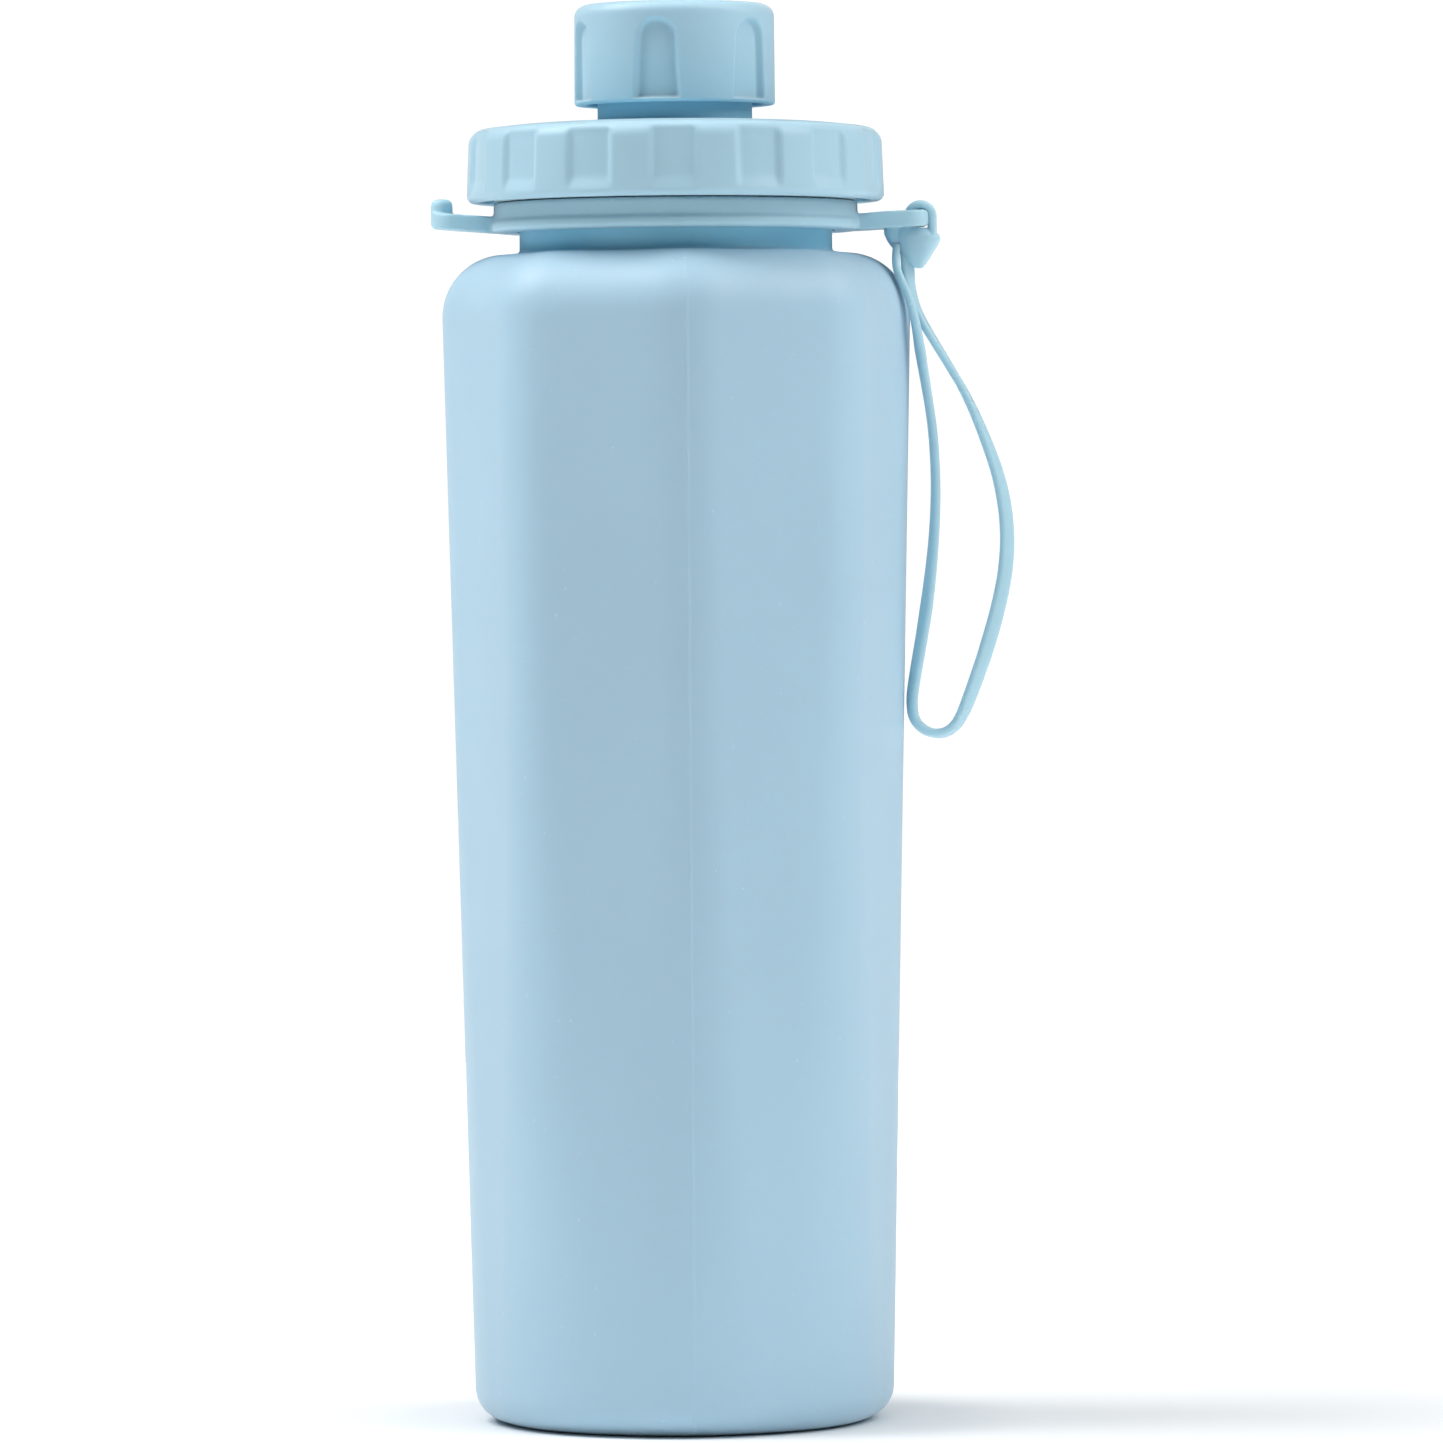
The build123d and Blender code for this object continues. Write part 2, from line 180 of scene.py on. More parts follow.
def silicone(name, colour, subsurface, grain, *painted_shade):
    """Matte silicone: milky, with a satin skin, faint clouding and a few specks of lint. A deeper
    colour of painted shade and the heights it starts and ends at may be given, for a shaded recess."""
    nodes = Nodes(name)
    cloud = nodes.span(nodes.noise(0.05, 3.0, (1, 1, 0.5)), 0.35, 0.65, 0, 1)
    clouded = nodes.mix(cloud, tinted(colour, 0.97), tinted(colour, 1.03))
    # Painted shade: a deeper colour over a band of heights, standing in for the shade in a recess.
    if painted_shade:
        clouded = painted_shade_by_height(nodes, clouded, *painted_shade)
    specks = nodes.span(nodes.noise(0.0011, 1.0), 0.76, 0.80, 0, 0.35)
    nodes.feed(Base_Color=nodes.mix(specks, clouded, tinted(colour, 1.35)))
    nodes.feed(Roughness=nodes.span(nodes.noise(0.012, 4.0), 0.3, 0.7, 0.46, 0.56))
    skin = nodes.bump(nodes.noise(grain, 3.0), 0.00004, 0.5)
    nodes.feed(Normal=nodes.bump(nodes.noise(0.018, 2.0, (1, 1, 0.4)), 0.00025, 0.35, after=skin))
    nodes.set(Subsurface_Weight=subsurface, Subsurface_Scale=0.004)
    nodes.set(Subsurface_Radius=(0.7, 0.9, 1.0), Specular_IOR_Level=0.5)
    nodes.set(Sheen_Weight=0.3, Sheen_Roughness=0.4)
    return nodes.material


def moulded_plastic(name, colour, *painted_shade):
    """Matte polypropylene: a spark-eroded grain, a little gloss and slight milky depth. It takes a
    deeper colour of painted shade as silicone does."""
    nodes = Nodes(name)
    cloud = nodes.span(nodes.noise(0.02, 3.0), 0.35, 0.65, 0, 1)
    clouded = nodes.mix(cloud, tinted(colour, 0.98), tinted(colour, 1.02))
    # Painted shade: a deeper colour over a band of heights, standing in for the shade in a recess.
    if painted_shade:
        clouded = painted_shade_by_height(nodes, clouded, *painted_shade)
    nodes.feed(Base_Color=clouded)
    nodes.feed(Roughness=nodes.span(nodes.noise(0.004, 3.0), 0.3, 0.7, 0.40, 0.50))
    nodes.feed(Normal=nodes.bump(nodes.noise(0.00035, 2.0), 0.00002, 0.5))
    nodes.set(Subsurface_Weight=0.2, Subsurface_Scale=0.0015)
    nodes.set(Subsurface_Radius=(0.7, 0.9, 1.0), Specular_IOR_Level=0.42)
    nodes.set(Sheen_Weight=0.5, Sheen_Roughness=0.35)
    return nodes.material


BODY_BLUE = (0.414, 0.616, 0.755)
LID_BLUE = (0.42, 0.645, 0.76)
STRAP_BLUE = (0.42, 0.66, 0.77)
# Painted shade: the neck, shaded under the strap ring and the lid, takes this deeper blue in place of
# that shade and the light bounced there.
NECK_SHADE_BLUE = (0.29, 0.66, 0.85)
# Painted shade: the spout, shaded under its cap, takes this more saturated blue in place of the light
# bounced in that shade.
SPOUT_SHADE_BLUE = (0.42, 0.77, 0.95)
SEAL_WHITE = (0.78, 0.82, 0.83)
# Heights in metres over which the neck's painted shade comes in.
NECK_SHADE_FADE = (0.1972, 0.1986)
# Heights in metres over which the spout's painted shade comes in.
SPOUT_SHADE_FADE = (0.2192, 0.2202)

body_silicone = silicone("body_silicone", BODY_BLUE, 0.25, 0.0005, NECK_SHADE_BLUE, *NECK_SHADE_FADE)
strap_silicone = silicone("strap_silicone", STRAP_BLUE, 0.25, 0.0004)
seal_silicone = silicone("seal_silicone", SEAL_WHITE, 0.4, 0.0004)
lid_plastic = moulded_plastic("lid_plastic", LID_BLUE, SPOUT_SHADE_BLUE, *SPOUT_SHADE_FADE)
cap_plastic = moulded_plastic("cap_plastic", LID_BLUE)
collar_plastic = moulded_plastic("collar_plastic", LID_BLUE)

# ---------------------------------------------------------------------------------------------
# Mesh making
# ---------------------------------------------------------------------------------------------


def new_piece(name, points, faces, material, body, nodes):
    """A smooth mesh piece from points in millimetres, which rides on a body in place of nodes."""
    mesh = bpy.data.meshes.new(name)
    mesh.from_pydata([tuple(p) for p in np.asarray(points) * MM], [], faces)
    mesh.polygons.foreach_set("use_smooth", [True] * len(mesh.polygons))
    mesh.materials.append(material)
    mesh.update()
    piece = bpy.data.objects.new(name, mesh)
    bpy.context.scene.collection.objects.link(piece)
    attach(piece, body)
    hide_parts(*nodes)
    return piece


def turned_mesh(angles, radii, heights, closed):
    """Points and faces of a turned grid, whose rows close in a ring or end on the axis."""
    rows, columns = radii.shape
    heights = np.broadcast_to(np.asarray(heights)[:, None], radii.shape)
    grid = np.stack([radii * np.cos(angles), radii * np.sin(angles), heights], axis=-1)
    points = list(grid.reshape(-1, 3))
    faces = []
    for row in range(rows if closed else rows - 1):
        below = row * columns
        above = (row + 1) % rows * columns
        for column in range(columns):
            beside = (column + 1) % columns
            faces.append((below + column, below + beside, above + beside, above + column))
    if not closed:
        for row, first in ((0, True), (rows - 1, False)):
            points.append(np.array([0, 0, heights[row, 0]]))
            pole = len(points) - 1
            for column in range(columns):
                here, beside = row * columns + column, row * columns + (column + 1) % columns
                faces.append((pole, beside, here) if first else (pole, here, beside))
    return points, faces


def outline(corners, closed):
    """Rows (radius, height, zone) along an outline. A corner is radius, height, rounding, and the
    zone and the longest step of the run that follows it."""
    rows = []
    count = len(corners)
    for index, (radius, height, rounding, zone, step) in enumerate(corners):
        here = np.array([radius, height])
        ends = not closed and index in (0, count - 1)
        before = np.array(corners[index - 1][:2])
        after = np.array(corners[(index + 1) % count][:2])
        if rounding and not ends:
            inward = (before - here) / np.linalg.norm(before - here)
            onward = (after - here) / np.linalg.norm(after - here)
            half = np.arccos(np.clip(inward @ onward, -1, 1)) / 2
            cut = rounding / tan(half)
            middle = inward + onward
            centre = here + middle / np.linalg.norm(middle) * rounding / sin(half)
            for share in np.linspace(0, 1, 7):
                spoke = (1 - share) * (here + inward * cut) + share * (here + onward * cut) - centre
                point = centre + spoke / np.linalg.norm(spoke) * rounding
                rows.append((*point, zone))
        else:
            rows.append((*here, zone))
        if closed or index < count - 1:
            next_rounding = corners[(index + 1) % count][2]
            trim = 1.2 * next_rounding
            start = np.array(rows[-1][:2])
            length = np.linalg.norm(after - start) - trim
            for share in np.arange(step, length - 0.3 * step, step) / np.linalg.norm(after - start):
                rows.append((*(start + share * (after - start)), zone))
    return rows


def smooth_step(value, start, end):
    """0 before start, 1 after end, and a smooth rise between them."""
    share = np.clip((value - start) / (end - start), 0, 1)
    return share * share * (3 - 2 * share)


def off_angle(angles, centre, pitch):
    """Degrees from each angle to the nearest of the features that repeat at this pitch."""
    return (np.degrees(angles) - centre + pitch / 2) % pitch - pitch / 2


THREAD_PITCH = 4.0


def thread_height(angles, height, start, turns):
    """From 0 to 1, how far a one-start ridge stands up at a height, fading out at its ends."""
    share = np.zeros_like(angles)
    for lap in range(int(turns) + 1):
        along = (angles % (2 * pi)) / (2 * pi) + lap
        off = np.abs(height - start - THREAD_PITCH * along)
        ends = smooth_step(along, 0, 0.05) * (1 - smooth_step(along, turns - 0.05, turns))
        share = np.maximum(share, (1 - smooth_step(off, 0.35, 0.95)) * ends)
    return share


def turned_piece(name, rows, angles, reach, closed, material, body, nodes):
    """A turned piece of the lid's plastic. reach gives a row's radii at the angles."""
    radii = np.array([reach(radius, height, zone, angles) for radius, height, zone in rows])
    heights = [height for _, height, _ in rows]
    points, faces = turned_mesh(angles, radii, heights, closed)
    new_piece(name, points, faces, material, body, nodes)


def soften(piece, voxel, rounds):
    """Remeshes a piece evenly and smooths it, which rounds its edges as a soft moulding's are."""
    remesh = piece.modifiers.new("remesh", "REMESH")
    remesh.mode = "VOXEL"
    remesh.voxel_size = voxel * MM
    remesh.use_smooth_shade = True
    smooth = piece.modifiers.new("smooth", "SMOOTH")
    smooth.factor = 0.5
    smooth.iterations = rounds
    graph = bpy.context.evaluated_depsgraph_get()
    mesh = bpy.data.meshes.new_from_object(piece.evaluated_get(graph))
    mesh.materials.clear()
    mesh.materials.append(piece.data.materials[0])
    piece.modifiers.clear()
    piece.data = mesh


def even_angles(count):
    return np.arange(count) * 2 * pi / count


# ---------------------------------------------------------------------------------------------
# Lanyard: the loop's route, and the flat band along it.
# ---------------------------------------------------------------------------------------------

BAND_WIDTH = 2.8
BAND_THICKNESS = 1.3
LANYARD_ROUTE = [
    (0.0391, -0.0008, 0.1984),
    (0.0393, -0.0007, 0.1950),
    (0.0394, -0.0006, 0.1925),
    (0.0400, -0.0006, 0.1898),
    (0.0412, -0.0006, 0.1868),
    (0.0430, -0.0006, 0.1836),
    (0.0459, -0.0004, 0.1788),
    (0.0492, -0.0002, 0.1732),
    (0.0522, 0.0, 0.1662),
    (0.0547, 0.0, 0.1590),
    (0.0559, 0.0, 0.1515),
    (0.0557, 0.0, 0.1445),
    (0.0544, 0.0, 0.1378),
    (0.0522, 0.0, 0.1302),
    (0.0499, 0.0, 0.1238),
    (0.0483, 0.0, 0.1197),
    (0.0468, 0.0, 0.1171),
    (0.0445, 0.0, 0.1158),
    (0.0417, 0.0, 0.1163),
    (0.0397, 0.0, 0.1184),
    (0.0394, 0.0, 0.1214),
    (0.0398, 0.0, 0.1246),
    (0.0405, 0.0, 0.1285),
    (0.0417, 0.0, 0.1352),
    (0.0428, 0.0, 0.1430),
    (0.0436, 0.0, 0.1515),
    (0.0438, 0.0, 0.1600),
    (0.0433, -0.0003, 0.1680),
    (0.0422, -0.0012, 0.1750),
    (0.0412, -0.0024, 0.1810),
    (0.0406, -0.0040, 0.1850),
    (0.0398, -0.0050, 0.1884),
    (0.0388, -0.0050, 0.1912),
    (0.0377, -0.0040, 0.1936),
    (0.0371, -0.0024, 0.1960),
    (0.0374, -0.0012, 0.1986),
]
BAR_X = 41.45
BAR_Z = 203.6
WRAP_RADIUS = 2.03
WRAP_THICKNESS = 1.5
WRAP_DEPTH = 1.45

# The knot's two folds from top to bottom: height, left side, right side and half the depth.
KNOT_LOBE = [
    (201.7, 35.3, 39.0, 2.2),
    (200.8, 35.3, 39.0, 2.4),
    (199.6, 35.8, 39.0, 2.4),
    (198.6, 36.5, 39.0, 2.1),
    (197.8, 37.3, 39.0, 1.3),
]
KNOT_FLAP = [
    (201.7, 37.5, 43.3, 2.8),
    (201.2, 37.1, 44.1, 3.1),
    (200.4, 36.9, 44.7, 3.3),
    (199.7, 37.0, 44.9, 3.3),
    (198.6, 37.4, 44.3, 3.2),
    (197.5, 37.9, 43.6, 3.0),
    (196.5, 38.6, 43.0, 2.7),
    (195.6, 39.6, 42.4, 2.2),
    (194.9, 40.7, 41.8, 1.4),
]
KNOT_COLUMNS = 48
KNOT_SQUARENESS = 0.75

# Share of the way along, and the band's turn there in degrees: at 0 its thin side faces -Y.
LANYARD_TURNS = [
    (0.0, 45),
    (0.03, 40),
    (0.06, 14),
    (0.14, 4),
    (0.2, 25),
    (0.26, 45),
    (0.32, 56),
    (0.4, 60),
    (0.46, 45),
    (0.51, 12),
    (0.56, 28),
    (0.64, 36),
    (0.7, 20),
    (0.76, 12),
    (0.84, 8),
    (0.89, 20),
    (0.93, 4),
    (1.0, 0),
]


def route_line(name, route):
    """The points of the smooth line that has the route as its control points, in metres."""
    data = bpy.data.curves.new(name, "CURVE")
    data.dimensions = "3D"
    data.resolution_u = 16
    spline = data.splines.new("NURBS")
    spline.points.add(len(route) - 1)
    for point, place in zip(spline.points, route):
        point.co = (*place, 1)
    spline.order_u = 3
    spline.use_endpoint_u = True
    curve = bpy.data.objects.new(name, data)
    mesh = bpy.data.meshes.new_from_object(curve)
    line = [vertex.co.copy() for vertex in mesh.vertices]
    bpy.data.objects.remove(curve)
    return line


def tube_faces(rings, columns):
    """The faces between rings of points, and the two that close the tube's ends."""
    faces = []
    for ring in range(rings - 1):
        for column in range(columns):
            here = ring * columns + column
            beside = ring * columns + (column + 1) % columns
            faces.append((here, beside, beside + columns, here + columns))
    last = (rings - 1) * columns
    faces.append(tuple(range(columns - 1, -1, -1)))
    faces.append(tuple(range(last, last + columns)))
    return faces


def band_section(width, thickness, count=20):
    """A flat section with full round edges, as (across, through) pairs round its outline."""
    flat = (width - thickness) / 2
    section = []
    for step in range(count):
        angle = 2 * pi * (step + 0.5) / count
        side = 1 if cos(angle) > 0 else -1
        section.append((side * flat + thickness / 2 * cos(angle), thickness / 2 * sin(angle)))
    return section


def band_mesh(line, width, thickness, turn_at, reference):
    """Points and faces of a flat band along a line, in millimetres. The width lies along the
    reference direction, turned about the line by turn_at(share) degrees."""
    line = [Vector(point) for point in line]
    lengths = np.cumsum([0] + [(b - a).length for a, b in zip(line, line[1:])])
    section = band_section(width, thickness)
    points = []
    for index, place in enumerate(line):
        tangent = (line[min(index + 1, len(line) - 1)] - line[max(index - 1, 0)]).normalized()
        side = (reference - tangent * reference.dot(tangent)).normalized()
        other = tangent.cross(side)
        turn = radians(turn_at(lengths[index] / lengths[-1]))
        across = side * cos(turn) + other * sin(turn)
        through = tangent.cross(across)
        points += [place + across * a + through * t for a, t in section]
    return points, tube_faces(len(line), len(section))


def fold_mesh(rows):
    """A pad of folded band, thick in the middle and rounded towards its sides."""
    points = []
    for height, left, right, half_depth in rows:
        for turn in even_angles(KNOT_COLUMNS):
            across = np.sign(cos(turn)) * abs(cos(turn)) ** KNOT_SQUARENESS
            through = np.sign(sin(turn)) * abs(sin(turn)) ** KNOT_SQUARENESS
            x = (left + right) / 2 - across * (right - left) / 2
            points.append((x, through * half_depth, height))
    return points, tube_faces(len(rows), KNOT_COLUMNS)


def wrap_line(depth):
    """The line of one turn of the band over the bar, in millimetres, at a depth along it."""
    line = [(BAR_X - WRAP_RADIUS, depth, BAR_Z - drop) for drop in (4.0, 3.0, 1.5)]
    for turn in np.linspace(pi, 0, 25):
        line.append((BAR_X + WRAP_RADIUS * cos(turn), depth, BAR_Z + WRAP_RADIUS * sin(turn)))
    line += [(BAR_X + WRAP_RADIUS, depth, BAR_Z - drop) for drop in (1.5, 3.0)]
    return line


def wrap_mesh(depth):
    """One turn of the band over the bar, at a depth along it."""
    return band_mesh(
        wrap_line(depth), BAND_WIDTH, WRAP_THICKNESS, lambda share: 0, Vector((0, 1, 0))
    )


def make_hitch():
    """The hitch: the band goes twice over the bar and is drawn up in a knot below it."""
    points, faces = [], []
    parts = [fold_mesh(KNOT_LOBE), fold_mesh(KNOT_FLAP), wrap_mesh(-WRAP_DEPTH), wrap_mesh(WRAP_DEPTH)]
    for part_points, part_faces in parts:
        faces += [tuple(len(points) + corner for corner in face) for face in part_faces]
        points += [tuple(point) for point in part_points]
    hitch = new_piece(
        "hitch", points, faces, strap_silicone, "lanyard", ["lanyard_hitch"]
    )
    soften(hitch, 0.13, 3)
    return hitch


def make_lanyard():
    """The lanyard's loop, as a flat band that twists along its route."""
    line = route_line("lanyard_line", LANYARD_ROUTE)
    shares, turns = zip(*LANYARD_TURNS)
    points, faces = band_mesh(
        [point / MM for point in line],
        BAND_WIDTH,
        BAND_THICKNESS,
        lambda share: np.interp(share, shares, turns),
        Vector((0, 1, 0)),
    )
    band = new_piece(
        "lanyard_band", points, faces, strap_silicone, "lanyard", ["lanyard_loop"]
    )
    make_hitch()


make_lanyard()

# ---------------------------------------------------------------------------------------------
# Silicone body: eight soft facets that run out into a round base, with a parting line.
# ---------------------------------------------------------------------------------------------

SIDE_ANGLE = 45.0
CORNER_TURN = 2.75
BASE_HALF_WIDTH = 35.45
BODY_TAPER = 0.0227
CORNER_ROUNDING = 13.8
BASE_ROUNDING = 33.0
FACETED_FROM = 125.0
SHOULDER_TOP = 197.7
SHOULDER_RADIUS = 11.0
BASE_EDGE = 5.5
WALL = 2.2
FLOOR_THICKNESS = 3.0
NECK_RADIUS = 26.5
MOUTH_RADIUS = 24.0
LIP_RADIUS = 29.0
RIDGE_HEIGHT = 0.11
RIDGE_WIDTH = 0.22


def facet_radius(angles, height, inset):
    """The distance from the axis to the eight-sided section at a height, moved in by the inset."""
    below = max(0.0, 1 - height / FACETED_FROM) ** 1.2
    rounding = CORNER_ROUNDING + (BASE_ROUNDING - CORNER_ROUNDING) * below
    half_width = BASE_HALF_WIDTH + BODY_TAPER * height
    half_side = radians(SIDE_ANGLE / 2)
    apothem = cos(half_side) * half_width + (1 - cos(half_side)) * rounding - inset
    rounding = max(rounding - inset, 0.5)
    off = np.abs(np.radians(off_angle(angles, CORNER_TURN, SIDE_ANGLE)))
    centre = (apothem - rounding) / cos(half_side)
    tangent = atan2(rounding * sin(half_side), centre + rounding * cos(half_side))
    within = np.minimum(off, tangent)
    on_corner = centre * np.cos(within) + np.sqrt(rounding**2 - (centre * np.sin(within)) ** 2)
    on_side = apothem / np.cos(half_side - off)
    return np.where(off <= tangent, on_corner, on_side)


def parting_ridge(angles):
    """The fine raised line where the two halves of the mould met, front and back."""
    off = np.radians(off_angle(angles, CORNER_TURN + 90, 180)) * BASE_HALF_WIDTH
    return RIDGE_HEIGHT * np.exp(-((off / RIDGE_WIDTH) ** 2))


def body_angles():
    """Even columns, with close ones on the parting line."""
    close = np.array([-0.7, -0.45, -0.3, -0.2, -0.1, 0, 0.1, 0.2, 0.3, 0.45, 0.7]) / BASE_HALF_WIDTH
    lines = [radians(CORNER_TURN + 90), radians(CORNER_TURN + 270)]
    angles = np.concatenate([even_angles(256)] + [line + close for line in lines])
    return np.unique(np.round(angles % (2 * pi), 6))


def body_rows():
    """The body's rows as (facet height, inset, height, circle radius, share of circle, ridge)."""
    rows = []
    lip_top = high("silicone_body")
    collar_top = high("neck_collar")

    def flat(height, inset, level, radii):
        start = BASE_HALF_WIDTH - inset
        for radius in radii:
            share = 1 - smooth_step(np.float64(radius), 0.6 * start, start)
            rows.append((height, inset, level, radius, share, 0))

    def edge(bottom, radius, inset, first, last, ridge, count=14):
        for turn in np.radians(np.linspace(first, last, count)):
            level = bottom + radius * sin(turn)
            rows.append((level, inset + radius * (1 - cos(turn)), level, 0, 0, ridge))

    def wall(start, end, inset, count, ridge):
        for level in np.linspace(start, end, count + 1)[1:-1]:
            rows.append((level, inset, level, 0, 0, ridge))

    flat(0, BASE_EDGE, 0, np.linspace(2, BASE_HALF_WIDTH - BASE_EDGE - 0.4, 12))
    edge(BASE_EDGE, BASE_EDGE, 0, -90, 0, 1)
    wall(BASE_EDGE, SHOULDER_TOP - SHOULDER_RADIUS, 0, 72, 1)
    edge(SHOULDER_TOP - SHOULDER_RADIUS, SHOULDER_RADIUS, 0, 0, 90, 1, 28)
    neck = outline(
        [
            (NECK_RADIUS + 1.2, SHOULDER_TOP + 0.05, 0, "", 1),
            (NECK_RADIUS, SHOULDER_TOP + 0.05, 0.8, "", 1.5),
            (NECK_RADIUS, collar_top, 0.2, "", 1),
            (LIP_RADIUS, collar_top, 0.3, "", 1),
            (LIP_RADIUS, lip_top, 0.3, "", 1),
            (MOUTH_RADIUS, lip_top, 0.4, "", 2),
            (MOUTH_RADIUS, SHOULDER_TOP - WALL, 0.8, "", 1),
            (NECK_RADIUS, SHOULDER_TOP - WALL, 0, "", 1),
        ],
        False,
    )
    rows += [(0, 0, height, radius, 1, 0) for radius, height, _ in neck]
    inner_shoulder = SHOULDER_RADIUS - WALL
    edge(SHOULDER_TOP - SHOULDER_RADIUS, inner_shoulder, WALL, 90, 0, 0, 20)
    inner_edge = BASE_EDGE - WALL
    wall(SHOULDER_TOP - SHOULDER_RADIUS, FLOOR_THICKNESS + inner_edge, WALL, 40, 0)
    edge(FLOOR_THICKNESS + inner_edge, inner_edge, WALL, 0, -90, 0)
    inner_reach = BASE_HALF_WIDTH - BASE_EDGE - 0.4
    flat(FLOOR_THICKNESS, BASE_EDGE, FLOOR_THICKNESS, np.linspace(inner_reach, 2, 10))
    return rows


def make_body():
    """The bottle's body, shoulder, neck and lip as one closed silicone moulding."""
    angles = body_angles()
    radii, heights = [], []
    for facet_height, inset, height, radius, share, ridge in body_rows():
        reach = share * radius
        if share < 1:
            reach = reach + (1 - share) * facet_radius(angles, facet_height, inset)
        radii.append(reach + ridge * parting_ridge(angles))
        heights.append(height)
    points, faces = turned_mesh(angles, np.array(radii), heights, False)
    new_piece(
        "bottle_body", points, faces, body_silicone, "bottle", ["silicone_body"]
    )


make_body()

# ---------------------------------------------------------------------------------------------
# Screw lid: fifteen soft grip pads, a slightly crowned top, a gasket seat and a threaded spout.
# ---------------------------------------------------------------------------------------------

LID_TOP = 219.6
LID_CREST_RADIUS = 25.5
LID_CREST_ROUNDING = 80
LID_EDGE = 218.55
LID_EDGE_ROUNDING = 2.8
LID_RIM_RADIUS = 35.4
LID_TOP_RADIUS = 34.95
LID_BORE_RADIUS = 33.0
GASKET_SEAT_RADIUS = 30.4
SPOUT_RADIUS = 13.1
SPOUT_BORE_RADIUS = 10.8
PAD_COUNT = 15
PAD_CENTRE = 11.9 - 90
PAD_HALF = 5.75
LAND_DEPTH = 0.75
LAND_BOTTOM = 206.9
LAND_FADE = 3.4
LID_THREAD = (210.2, 1.0)
SPOUT_THREAD = (227.6, 1.5)


def lid_reach(radius, height, zone, angles):
    """The lid's radii in one row: pads outside, and threads on the bore and the spout."""
    if zone == "grip":
        off = np.abs(off_angle(angles, PAD_CENTRE, 360 / PAD_COUNT))
        land = smooth_step(off, PAD_HALF - 0.8, PAD_HALF + 0.9)
        fade = smooth_step(height, LAND_BOTTOM, LAND_BOTTOM + LAND_FADE)
        fade *= 1 - smooth_step(height, LID_EDGE - 1.9, LID_EDGE - 0.35)
        return radius - LAND_DEPTH * land * fade
    if zone == "bore":
        return radius - 1.7 * thread_height(angles, height, *LID_THREAD)
    if zone == "spout":
        return radius + 1.15 * thread_height(angles, height, *SPOUT_THREAD)
    return np.full_like(angles, radius)


def make_lid():
    """The lid and its spout as one closed moulding."""
    ceiling = high("lid_gasket")
    seat = low("lid_gasket")
    bottom = low("screw_lid")
    spout_top = high("drinking_spout")
    rows = outline(
        [
            (SPOUT_BORE_RADIUS, ceiling, 0.5, "", 4),
            (GASKET_SEAT_RADIUS, ceiling, 0.2, "", 1),
            (GASKET_SEAT_RADIUS, seat, 0.2, "", 1),
            (LID_BORE_RADIUS, seat, 0.3, "bore", 0.25),
            (LID_BORE_RADIUS, bottom, 0.4, "", 1),
            (LID_RIM_RADIUS, bottom, 1.2, "grip", 0.4),
            (LID_TOP_RADIUS, LID_EDGE, LID_EDGE_ROUNDING, "grip", 0.8),
            (LID_TOP_RADIUS - 4, LID_EDGE + 0.45, 0, "", 1),
            (LID_CREST_RADIUS, LID_TOP, LID_CREST_ROUNDING, "", 2),
            (SPOUT_RADIUS, LID_TOP + 0.15, 0.7, "spout", 0.25),
            (SPOUT_RADIUS, spout_top, 0.5, "", 0.8),
            (SPOUT_BORE_RADIUS, spout_top, 0.5, "", 2),
        ],
        True,
    )
    nodes = ["screw_lid", "drinking_spout"]
    angles = even_angles(450)
    turned_piece("lid_and_spout", rows, angles, lid_reach, True, lid_plastic, "lid", nodes)


make_lid()

# ---------------------------------------------------------------------------------------------
# Spout cap: a slightly crowned cap with six arched finger scoops.
# ---------------------------------------------------------------------------------------------

CAP_RADIUS = 17.0
CAP_BORE_RADIUS = 14.9
SEAL_SEAT_RADIUS = 13.95
SEAL_SEAT_BOTTOM = 236.4
SCOOP_COUNT = 6
SCOOP_CENTRE = -10.0 - 90
SCOOP_TOP = 236.9
SCOOP_HALF_WIDTH = 3.5
SCOOP_SPREAD = 0.06
SCOOP_DEPTH = 1.05
SCOOP_DEEPENING = 0.02
SCOOP_SIDE = 0.6
CAP_THREAD = (225.6, 1.0)


def cap_reach(radius, height, zone, angles):
    """The cap's radii in one row: scoops outside and the thread inside."""
    if zone == "scoop":
        across = np.abs(np.radians(off_angle(angles, SCOOP_CENTRE, 360 / SCOOP_COUNT))) * radius
        arch_centre = SCOOP_TOP - SCOOP_HALF_WIDTH
        if height > arch_centre:
            inside = SCOOP_HALF_WIDTH - np.hypot(across, height - arch_centre)
        else:
            inside = SCOOP_HALF_WIDTH + SCOOP_SPREAD * (arch_centre - height) - across
        depth = SCOOP_DEPTH + SCOOP_DEEPENING * (SCOOP_TOP - height)
        return radius - depth * smooth_step(inside, -0.15, SCOOP_SIDE)
    if zone == "bore":
        return radius - 1.4 * thread_height(angles, height, *CAP_THREAD)
    return np.full_like(angles, radius)


def make_cap():
    """The spout cap as one closed moulding."""
    top = high("spout_cap")
    bottom = low("spout_cap")
    ceiling = high("cap_seal")
    rows = outline(
        [
            (1.5, top, 0, "", 2),
            (9.0, top - 0.03, 0, "", 2),
            (CAP_RADIUS - 0.08, top - 0.25, 2.1, "scoop", 0.3),
            (CAP_RADIUS, bottom, 0.5, "", 0.5),
            (CAP_BORE_RADIUS, bottom, 0.4, "bore", 0.25),
            (CAP_BORE_RADIUS, SEAL_SEAT_BOTTOM, 0.1, "", 0.5),
            (SEAL_SEAT_RADIUS, SEAL_SEAT_BOTTOM, 0.1, "", 0.5),
            (SEAL_SEAT_RADIUS, ceiling, 0.1, "", 2),
            (1.5, ceiling, 0, "", 2),
        ],
        False,
    )
    angles = even_angles(432)
    turned_piece("cap_shell", rows, angles, cap_reach, False, cap_plastic, "cap", ["spout_cap"])


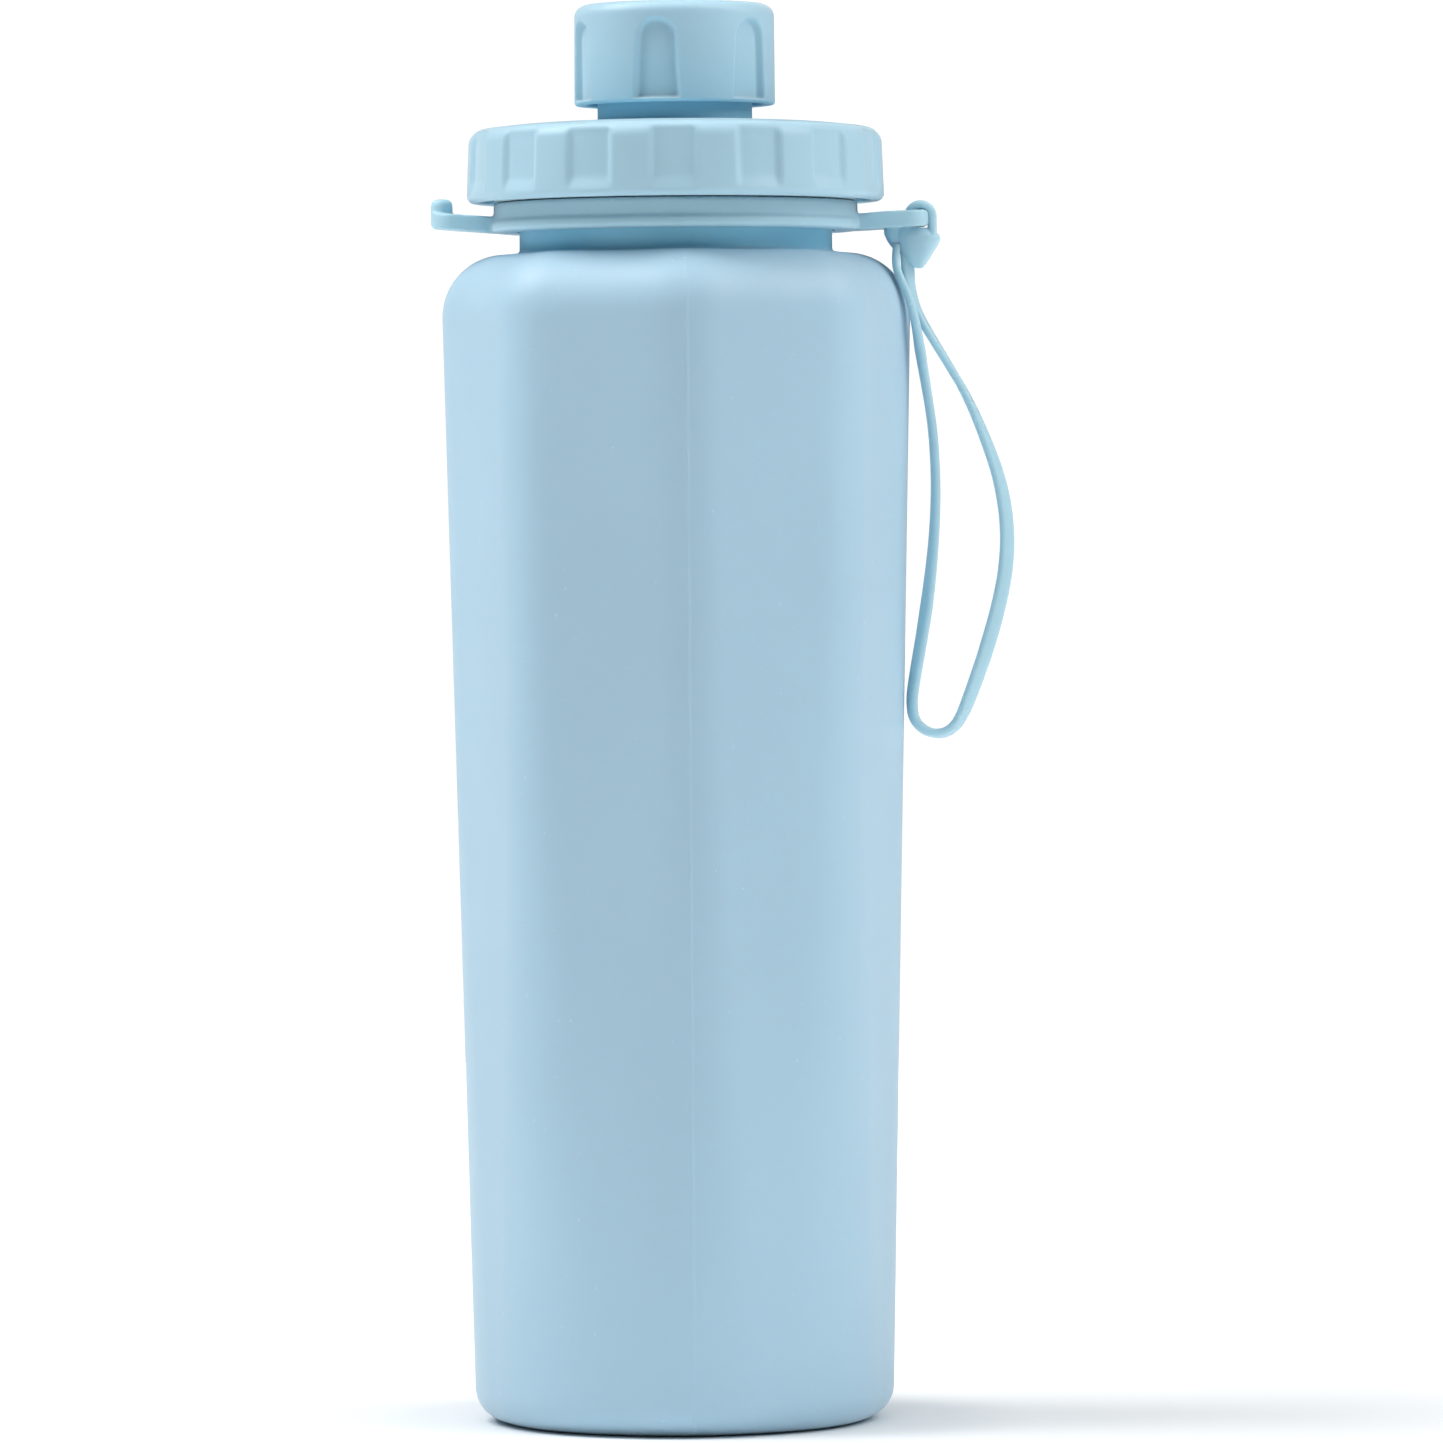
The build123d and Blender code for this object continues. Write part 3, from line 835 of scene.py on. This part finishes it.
make_cap()

# ---------------------------------------------------------------------------------------------
# Strap ring: a soft moulding, the CAD solid with every edge softened and a slight lower flange.
# ---------------------------------------------------------------------------------------------

# The flange's outline, in outline()'s terms.
STRAP_FLANGE = [
    (29.0, 201.45, 0, "", 2),
    (31.3, 201.45, 0.6, "", 1),
    (31.3, 203.1, 0.6, "", 1),
    (29.0, 204.0, 0, "", 2),
]


def make_strap():
    """The strap ring with its hook, its eye and its flange."""
    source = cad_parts["strap_ring"].data
    points = [vertex.co / MM for vertex in source.vertices]
    faces = [tuple(polygon.vertices) for polygon in source.polygons]
    rows = outline(STRAP_FLANGE, True)
    angles = even_angles(180)
    radii = np.array([np.full_like(angles, radius) for radius, _, _ in rows])
    more, more_faces = turned_mesh(angles, radii, [height for _, height, _ in rows], True)
    faces += [tuple(len(points) + corner for corner in face) for face in more_faces]
    points += [tuple(point) for point in more]
    strap = new_piece(
        "strap", points, faces, strap_silicone, "strap", ["strap_ring"]
    )
    soften(strap, 0.25, 5)


make_strap()

# ---------------------------------------------------------------------------------------------
# CAD nodes that keep their shape
# ---------------------------------------------------------------------------------------------


def dress(node, material):
    """Gives a CAD node's mesh its finished material."""
    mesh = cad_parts[node].data
    mesh.materials.clear()
    mesh.materials.append(material)


dress("neck_collar", collar_plastic)
dress("lid_gasket", seal_silicone)
dress("cap_seal", seal_silicone)

# ---------------------------------------------------------------------------------------------
# Floor, light and world
# ---------------------------------------------------------------------------------------------

WORLD_TINT = (0.93, 0.97, 1.0, 1)
WORLD_LIGHT = 0.12
WORLD_SEEN = 1.05
FLOOR_SIZE = 2.0
LIGHT_AIM = Vector((0, 0, 0.12))

# The floor's two glows of painted light: the distances from the axis that each rises between, and its
# strength.
FLOOR_GLOWS = [
    ((0.034, 0.06), 0.15),
    ((0.3, 0.9), 0.6),
]

# Each soft light's name, place, size and watts.
LIGHTS = [
    ("left_high", (-0.9, 0, 1.4), 0.9, 22.4),
    ("right_high", (1.0, -0.2, 1.0), 1.0, 11.3),
    ("front_high", (0.2, -0.7, 1.6), 0.9, 2.4),
    ("overhead", (0, -0.1, 1.8), 0.6, 4.0),
]


def make_floor():
    """A plain white floor that glows as painted light, less near the bottle, so it reads white."""
    nodes = Nodes("floor_white")
    paper = nodes.noise(0.4, 2.0)
    nodes.feed(Base_Color=nodes.mix(paper, (0.88, 0.89, 0.90), (0.90, 0.91, 0.92)))
    reach = nodes.add("ShaderNodeVectorMath", operation="LENGTH")
    nodes.join(nodes.place, reach.inputs["Vector"])
    glow = nodes.add("ShaderNodeMath", operation="ADD")
    for socket, (span, strength) in zip(glow.inputs, FLOOR_GLOWS):
        nodes.join(nodes.span(reach.outputs["Value"], *span, 0, strength), socket)
    # Painted light: the floor glows, less near the bottle, where its shade falls.
    nodes.feed(Emission_Strength=glow.outputs["Value"])
    nodes.set(Roughness=0.8, Specular_IOR_Level=0.2, Emission_Color=(1, 1, 1, 1))
    half = FLOOR_SIZE / 2
    corners = [(-half, -half, 0), (half, -half, 0), (half, half, 0), (-half, half, 0)]
    mesh = bpy.data.meshes.new("floor")
    mesh.from_pydata(corners, [], [(0, 1, 2, 3)])
    mesh.materials.append(nodes.material)
    floor = bpy.data.objects.new("floor", mesh)
    floor.location.z = -0.0002
    bpy.context.scene.collection.objects.link(floor)


def area_light(name, place, size, watts):
    """A square soft light at a place, facing the middle of the bottle."""
    data = bpy.data.lights.new(name, "AREA")
    data.shape = "SQUARE"
    data.size = size
    data.energy = watts
    light = bpy.data.objects.new(name, data)
    light.location = place
    light.rotation_euler = (LIGHT_AIM - Vector(place)).to_track_quat("-Z", "Y").to_euler()
    light.visible_camera = False
    bpy.context.scene.collection.objects.link(light)


def make_world():
    """A white surround: seen as pure white, but giving the object a softer light."""
    world = bpy.data.worlds.new("studio")
    world.use_nodes = True
    tree = world.node_tree
    tree.nodes.clear()
    output = tree.nodes.new("ShaderNodeOutputWorld")
    mix = tree.nodes.new("ShaderNodeMixShader")
    path = tree.nodes.new("ShaderNodeLightPath")
    for socket, colour, strength in (
        (1, WORLD_TINT, WORLD_LIGHT),
        (2, (1, 1, 1, 1), WORLD_SEEN),
    ):
        background = tree.nodes.new("ShaderNodeBackground")
        background.inputs["Color"].default_value = colour
        background.inputs["Strength"].default_value = strength
        tree.links.new(background.outputs["Background"], mix.inputs[socket])
    tree.links.new(path.outputs["Is Camera Ray"], mix.inputs["Fac"])
    tree.links.new(mix.outputs["Shader"], output.inputs["Surface"])
    bpy.context.scene.world = world


make_floor()
make_world()
for light in LIGHTS:
    area_light(*light)
bpy.context.scene.view_settings.view_transform = "Standard"
